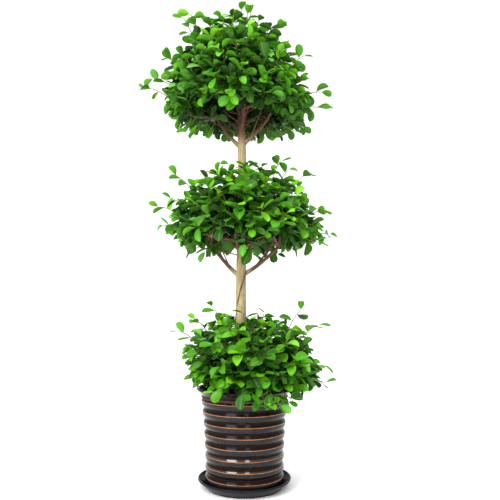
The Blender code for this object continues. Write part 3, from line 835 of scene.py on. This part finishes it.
def bare_twigs():
    """Thin leafless twigs that fan out from the stem and limbs under each leaf ball."""
    chance = random.Random(5)
    starts = []
    for _, points, _ in limb_lines():
        limb = smooth_line(points, 5)
        along = (limb[-1] - limb[0]).normalized()
        for share in TWIG_PLACES:
            starts.append((limb[int(share * (len(limb) - 1))], along))
    for low, high, count in TWIG_FANS:
        for index in range(count):
            angle = index * GOLDEN_ANGLE
            level = low + (high - low) * (index + 0.5) / count
            along = Vector((math.cos(angle), math.sin(angle), 0.25)).normalized()
            starts.append((Vector((STEM_X, 0.0, SOIL_TOP + level)), along))
    twigs = []
    for start, along in starts:
        across = Vector((-along.y, along.x, 0.0)).normalized()
        heading = along * 0.8 + across * chance.uniform(-0.8, 0.8)
        heading = (heading + Vector((0.0, 0.0, chance.uniform(0.1, 0.7)))).normalized()
        length = chance.uniform(0.09, 0.15)
        bend = across * chance.uniform(-0.008, 0.008)
        line = smooth_line([start, start + heading * length * 0.5 + bend,
                            start + heading * length], 3)
        twigs.append((line, spread_radii(TWIG_RADIUS * 0.95, TWIG_TIP_RADIUS, len(line))))
    return twigs


def make_trunk(paint, joins):
    """Stem, limbs, boughs, bare twigs and the thin root, as one piece of wood."""
    stem = tubes([stem_line()], 12)
    for vert in stem.verts:
        axis = Vector((STEM_X, 0.0, vert.co.z))
        out = (vert.co - axis).normalized()
        ridge = noise.noise(Vector((out.x * 2.2, out.y * 2.2, vert.co.z * 7.0))) * 0.0009
        fine = noise.noise(Vector((out.x * 9.0, out.y * 9.0, vert.co.z * 45.0))) * 0.00035
        vert.co += out * (ridge + fine)
    branches = []
    for _, points, radius in limb_lines():
        line = smooth_line(points, 5)
        branches.append((line, spread_radii(radius, BOUGH_RADIUS * 0.9, len(line), 0.6)))
    for source, thick, join, outward in joins:
        line = smooth_line([source - outward * thick * 0.6, join - outward * 0.02, join], 5)
        branches.append((line, spread_radii(thick * 0.9, TWIG_RADIUS * 1.25, len(line), 0.7)))
    root = tubes([root_line()], 3)
    limbs = tubes(branches + bare_twigs(), 3)
    for wood, shade in ((stem, 0.0), (limbs, 0.0), (root, ROOT_SHADE)):
        layer = wood.verts.layers.float_color.new("wood_map")
        for vert in wood.verts:
            apart = math.hypot(vert.co.x - STEM_X, vert.co.y)
            height = vert.co.z - SOIL_TOP
            # Above this level the stem is painted darker and redder: young wood, and painted
            # shade under the top ball
            high = min(1.0, max(0.0, (height - YOUNG_AND_SHADED_WOOD_LEVEL) / 0.06))
            young_and_shade = min(1.0, max(high, (apart - YOUNG_WOOD_APART) / 0.022))
            vert[layer] = (young_and_shade, 0.0, shade, 1.0)
    finish_piece("stem_and_branches", join_shapes([stem, limbs, root]), paint, WOOD_NODES)


# Leaves

def leaf_shape(bend, cup, twist):
    """One closed leaf along +Y, face up, and its surface map: across, along, underside."""
    shape = bmesh.new()
    chart = shape.verts.layers.float_color.new("leaf_map")
    top = bmesh.ops.create_grid(shape, x_segments=4, y_segments=len(LEAF_ROWS) - 1, size=1.0)
    low = bmesh.ops.create_grid(shape, x_segments=4, y_segments=len(LEAF_ROWS) - 1, size=1.0)
    for verts, under in ((top["verts"], 0.0), (low["verts"], 1.0)):
        for vert in verts:
            across = vert.co.x
            row = round((vert.co.y + 1.0) * 0.5 * (len(LEAF_ROWS) - 1))
            along, width = LEAF_ROWS[row]
            edge = abs(across) > 0.99 or row in (0, len(LEAF_ROWS) - 1)
            thick = 0.0 if edge else LEAF_THICKNESS * (1.0 - abs(across) * 0.5)
            half = width * LEAF_WIDTH / 2.0
            curl = cup * half * across * across + bend * LEAF_LENGTH * along * along
            roll = twist * along * across * half
            vert.co = Vector((across * half, along * LEAF_LENGTH, curl + roll - thick * under))
            vert[chart] = (0.5 + across * 0.5, along, under, 1.0)
    bmesh.ops.remove_doubles(shape, verts=shape.verts, dist=0.00001)
    bmesh.ops.recalc_face_normals(shape, faces=shape.faces)
    mesh = bpy.data.meshes.new("leaf")
    shape.to_mesh(mesh)
    shape.free()
    return mesh


def leaf_kinds():
    """A few leaves that bend, cup and twist differently."""
    kinds = [(-0.10, 0.45, 0.0), (-0.22, 0.30, 0.25), (-0.05, 0.70, -0.20), (0.06, 0.40, 0.15),
             (-0.30, 0.50, -0.30), (-0.16, 0.90, 0.10), (-0.02, 0.20, 0.35)]
    return [leaf_shape(*kind) for kind in kinds]


def leaf_matrix(base, heading, facing, size, roll):
    """Places a leaf with its length along the heading and its face towards facing."""
    side = heading.cross(facing).normalized()
    face = side.cross(heading).normalized()
    turned = Matrix((side, heading, face)).transposed().to_4x4()
    return Matrix.Translation(base) @ Matrix.Rotation(roll, 4, heading) @ turned \
        @ Matrix.Diagonal((size, size, size, 1.0))


def is_clear(tip, base):
    """True where a leaf keeps off the pot, soil and stem, and inside the frame's box."""
    for spot in (tip, base.lerp(tip, 0.6)):
        radius = math.hypot(spot.x, spot.y)
        if spot.z < POT_RIM + 0.004 and radius < POT_RIM_RADIUS + 0.004:
            return False
        if math.hypot(spot.x - STEM_X, spot.y) < STEM_RADIUS_FOOT + 0.003:
            return False
        if any(not low < place < high for low, place, high in zip(LOWEST, spot, HIGHEST)):
            return False
    return True


def add_leaf(shape, kinds, matrix, tone_and_shade, chance):
    """Adds one leaf to the spray's bmesh, with its age and painted light and shade, its luck, and
    painted shade for how deep it sits.
    """
    before = len(shape.verts)
    shape.from_mesh(chance.choice(kinds))
    shape.verts.ensure_lookup_table()
    new = shape.verts[before:]
    bmesh.ops.transform(shape, matrix=matrix, verts=new)
    layer = shape.verts.layers.float_color["leaf_tone_and_shade"]
    for vert in new:
        vert[layer] = tone_and_shade


def shoot_line(join, tip, outward, length):
    """A twig from the bough's end out to the shoot's tip, as a soft curve."""
    reach = (tip - join).length
    knee = join.lerp(tip - outward * length, 0.75)
    knee.z -= reach * 0.05
    return smooth_line([join, join.lerp(knee, 0.5), knee, tip - outward * length * 0.45, tip], 3)


def dress_shoot(shape, kinds, line, outward, leaves, youth_and_shade, painted_shade, chance):
    """Leaves in a spiral up the last stretch of a twig."""
    count = len(line)
    turn_start = chance.uniform(0.0, 6.28)
    for index in range(leaves):
        share = index / max(1, leaves - 1)
        place = (BARE_TWIG + LEAFY_TWIG * share) * (count - 1)
        low = min(int(place), count - 2)
        base = line[low].lerp(line[low + 1], place - low)
        along = (line[low + 1] - line[low]).normalized()
        side = along.orthogonal().normalized()
        turned = turn_start + index * LEAF_TURN + chance.uniform(-0.4, 0.4)
        side = Matrix.Rotation(turned, 3, along) @ side
        lean = math.radians(chance.uniform(*LEAF_LEAN) * (1.0 - 0.45 * share ** 3))
        heading = along * math.cos(lean) + side * math.sin(lean)
        heading.z = heading.z * 0.62 - chance.uniform(0.0, 0.26)
        heading.normalize()
        facing = along * 0.20 + outward * 0.30 + Vector((0.0, 0.0, 1.15))
        facing += Vector([chance.uniform(-0.40, 0.40) for _ in range(3)])
        size = chance.uniform(0.78, 1.06) * (1.0 - 0.22 * share ** 4)
        tip = base + heading * LEAF_LENGTH * size
        if not is_clear(tip, base):
            continue
        age_and_shade = youth_and_shade + 0.26 * share ** 3 + chance.gauss(0.0, 0.10)
        tone_and_shade = (min(1.0, max(0.0, age_and_shade)), chance.random() ** 2, painted_shade, 1.0)
        matrix = leaf_matrix(base, heading, facing, size, chance.uniform(-0.5, 0.5))
        add_leaf(shape, kinds, matrix, tone_and_shade, chance)


def plan_shoots(name, crown, chance):
    """Every shoot of a leaf ball: tip, outward direction, length, leaves, youth with painted
    light and shade, and painted shade for how deep it sits.
    """
    middle = crown_middle(crown)
    plans = []
    count = crown["shoots"]
    for index in range(count):
        share = (index + 0.5) / count
        sine = 1.0 + (crown["hang"] - 1.0) * share
        angle = index * GOLDEN_ANGLE + chance.uniform(-0.12, 0.12)
        inner, painted_shade = SHOOT_CYCLE[index % len(SHOOT_CYCLE)]
        swell = 0.05 * noise.noise(Vector((math.cos(angle) * 2.0, math.sin(angle) * 2.0,
                                           sine * 2.5 + crown["seed"])))
        depth = inner or OUTER_DEPTH + swell + chance.uniform(-0.05, 0.04)
        tip = outline_spot(name, angle, sine, depth)
        outward = (tip - middle).normalized()
        outward = (outward + Vector((0.0, 0.0, 0.22))).normalized()
        if sine < -0.1:
            outward = (outward + Vector((0.0, 0.0, -0.35))).normalized()
        # Inner shoots get the darkest green as painted shade; on outer shoots the sine term is
        # painted light on top of the ball and painted shade low down
        youth_and_shade = 0.06 if inner else 0.41 + 0.16 * sine + chance.gauss(0.0, 0.17)
        plans.append((tip, outward, SHOOT_LENGTH, LEAVES_PER_SHOOT, youth_and_shade, painted_shade))
    for x, y, height in SPRIGS[name]:
        tip = Vector((x, y, SOIL_TOP + height))
        outward = (tip - middle).normalized()
        hanging = height < OUTLINES[name][0][0] + HANGING_BAND
        youth_and_shade = (HANGING_YOUTH if hanging else SPRIG_YOUTH) + chance.gauss(0.0, 0.10)
        plans.append((tip, outward, SPRIG_LENGTH, SPRIG_LEAVES, youth_and_shade, 0.0))
    return plans


def make_crown(name, crown, leaf_green, bark, kinds, joins):
    """The sprays of one leaf ball; each shoot belongs to the nearest spray."""
    hub = crown_hub(crown)
    limbs = [(points, radius) for owner, points, radius in limb_lines() if owner == name]
    chance = random.Random(crown["seed"] * 7)
    sprays = []
    for spot in spray_spots(crown):
        join = hub.lerp(spot, BOUGH_SHARE)
        outward = (spot - join).normalized()
        source, thick = nearest_on_limbs(join, limbs)
        joins.append((source, thick, join, outward))
        sprays.append((join, spot, []))
    for plan in plan_shoots(name, crown, chance):
        nearest = min(sprays, key=lambda spray: (spray[1] - plan[0]).length)
        nearest[2].append(plan)
    for index, (join, spot, plans) in enumerate(sprays):
        twig_lines = []
        shape = bmesh.new()
        shape.verts.layers.float_color.new("leaf_map")
        shape.verts.layers.float_color.new("leaf_tone_and_shade")
        for tip, outward, length, leaves, youth_and_shade, painted_shade in plans:
            line = shoot_line(join, tip, outward, length)
            radii = spread_radii(TWIG_RADIUS, TWIG_TIP_RADIUS, len(line), 0.6)
            twig_lines.append((line, radii))
            dress_shoot(shape, kinds, line, outward, leaves, youth_and_shade, painted_shade, chance)
        finish_spray(f"{name}_spray_{index + 1:02d}", shape, twig_lines, leaf_green, bark)


def finish_spray(node_name, leaves, twig_lines, leaf_green, bark):
    """Joins a spray's twigs and leaves into one piece with two materials."""
    twigs = tubes(twig_lines, 1) if twig_lines else bmesh.new()
    wood = twigs.verts.layers.float_color.new("wood_map")
    ends = [line[-1] for line, _ in twig_lines]
    for vert in twigs.verts:
        near_end = min((vert.co - end).length for end in ends)
        shoot = min(1.0, max(0.0, 1.0 - (near_end - GREEN_TWIG) / 0.04))
        vert[wood] = (1.0, shoot * 0.85, 0.0, 1.0)
    for face in twigs.faces:
        face.material_index = 1
    shape = join_shapes([leaves, twigs])
    piece = finish_piece(node_name + "_leaves", shape, leaf_green, [node_name], 75)
    piece.data.materials.append(bark)


# Stage, lights and camera

def make_stage():
    """A white sweep: floor, round bend and backdrop."""
    shape = bmesh.new()
    profile = [(-SWEEP_REACH, 0.0)]
    profile += [(SWEEP_BACK + y, z + SWEEP_BEND)
                for y, z in arc((0.0, 0.0), SWEEP_BEND, -90, 0, 16)]
    profile.append((SWEEP_BACK + SWEEP_BEND, SWEEP_REACH))
    verts = [shape.verts.new((-SWEEP_REACH, y, z)) for y, z in profile]
    edges = [shape.edges.new(pair) for pair in zip(verts, verts[1:])]
    swept = bmesh.ops.extrude_edge_only(shape, edges=edges)
    moved = [item for item in swept["geom"] if isinstance(item, bmesh.types.BMVert)]
    bmesh.ops.translate(shape, verts=moved, vec=(2.0 * SWEEP_REACH, 0.0, 0.0))
    bmesh.ops.recalc_face_normals(shape, faces=shape.faces)
    mesh = bpy.data.meshes.new("studio_sweep")
    shape.to_mesh(mesh)
    shape.free()
    mesh.shade_smooth()
    sweep = bpy.data.objects.new("studio_sweep", mesh)
    bpy.context.scene.collection.objects.link(sweep)
    paint, _, shader = new_paint("white_paper", 0.9)
    shader.inputs["Base Color"].default_value = (0.90, 0.90, 0.90, 1.0)
    mesh.materials.append(paint)


def add_light(name, spot, target, size, power):
    """A white rectangular lamp at a spot, facing a target and not seen itself."""
    lamp = bpy.data.lights.new(name, "AREA")
    lamp.shape = "RECTANGLE"
    lamp.size, lamp.size_y = size
    lamp.energy = power
    holder = bpy.data.objects.new(name, lamp)
    holder.location = spot
    holder.rotation_euler = (Vector(target) - Vector(spot)).to_track_quat("-Z", "Y").to_euler()
    holder.visible_camera = False
    bpy.context.scene.collection.objects.link(holder)


def lamp_place(compass):
    """A lamp's spot at a compass angle from the front, positive to the right."""
    turned = math.radians(compass)
    raised = math.radians(LAMP_ELEVATION)
    flat = LAMP_DISTANCE * math.cos(raised)
    return (flat * math.sin(turned), -flat * math.cos(turned),
            LAMP_TARGET[2] + LAMP_DISTANCE * math.sin(raised))


def make_lights():
    """Two lamps that show in the glaze, a wide one above, and a white surround."""
    add_light("key_left", lamp_place(-38.0), LAMP_TARGET, (1.5, 1.7), 100.0)
    add_light("front_strip", lamp_place(9.0), LAMP_TARGET, (0.6, 1.7), 30.0)
    add_light("top_soft", (0.0, -0.4, 3.4), (0.0, 0.0, 0.5), (2.6, 2.6), 90.0)
    world = bpy.data.worlds.new("studio")
    world.use_nodes = True
    surround = world.node_tree.nodes["Background"]
    surround.inputs["Color"].default_value = (1.0, 1.0, 1.0, 1.0)
    surround.inputs["Strength"].default_value = 1.0
    bpy.context.scene.world = world
    bpy.context.scene.view_settings.view_transform = "Standard"


def make_camera():
    """A camera in front, a little above the pot and tilted slightly upwards."""
    lens = bpy.data.cameras.new("camera")
    lens.sensor_width = 36.0
    lens.lens = 37.44
    holder = bpy.data.objects.new("camera", lens)
    holder.location = CAMERA_SPOT
    holder.rotation_euler = (math.radians(90.0 + CAMERA_TILT), 0.0, 0.0)
    bpy.context.scene.collection.objects.link(holder)
    bpy.context.scene.camera = holder


def main():
    """Makes every piece, then the stage, the lights and the camera."""
    bark = bark_paint()
    leaf_green = leaf_paint()
    make_saucer(saucer_glaze())
    make_pot(pot_glaze())
    make_soil(soil_paint())
    kinds = leaf_kinds()
    joins = []
    for name, crown in CROWNS.items():
        make_crown(name, crown, leaf_green, bark, kinds, joins)
    make_trunk(bark, joins)
    for kind in kinds:
        bpy.data.meshes.remove(kind)
    make_stage()
    make_lights()
    make_camera()


main()
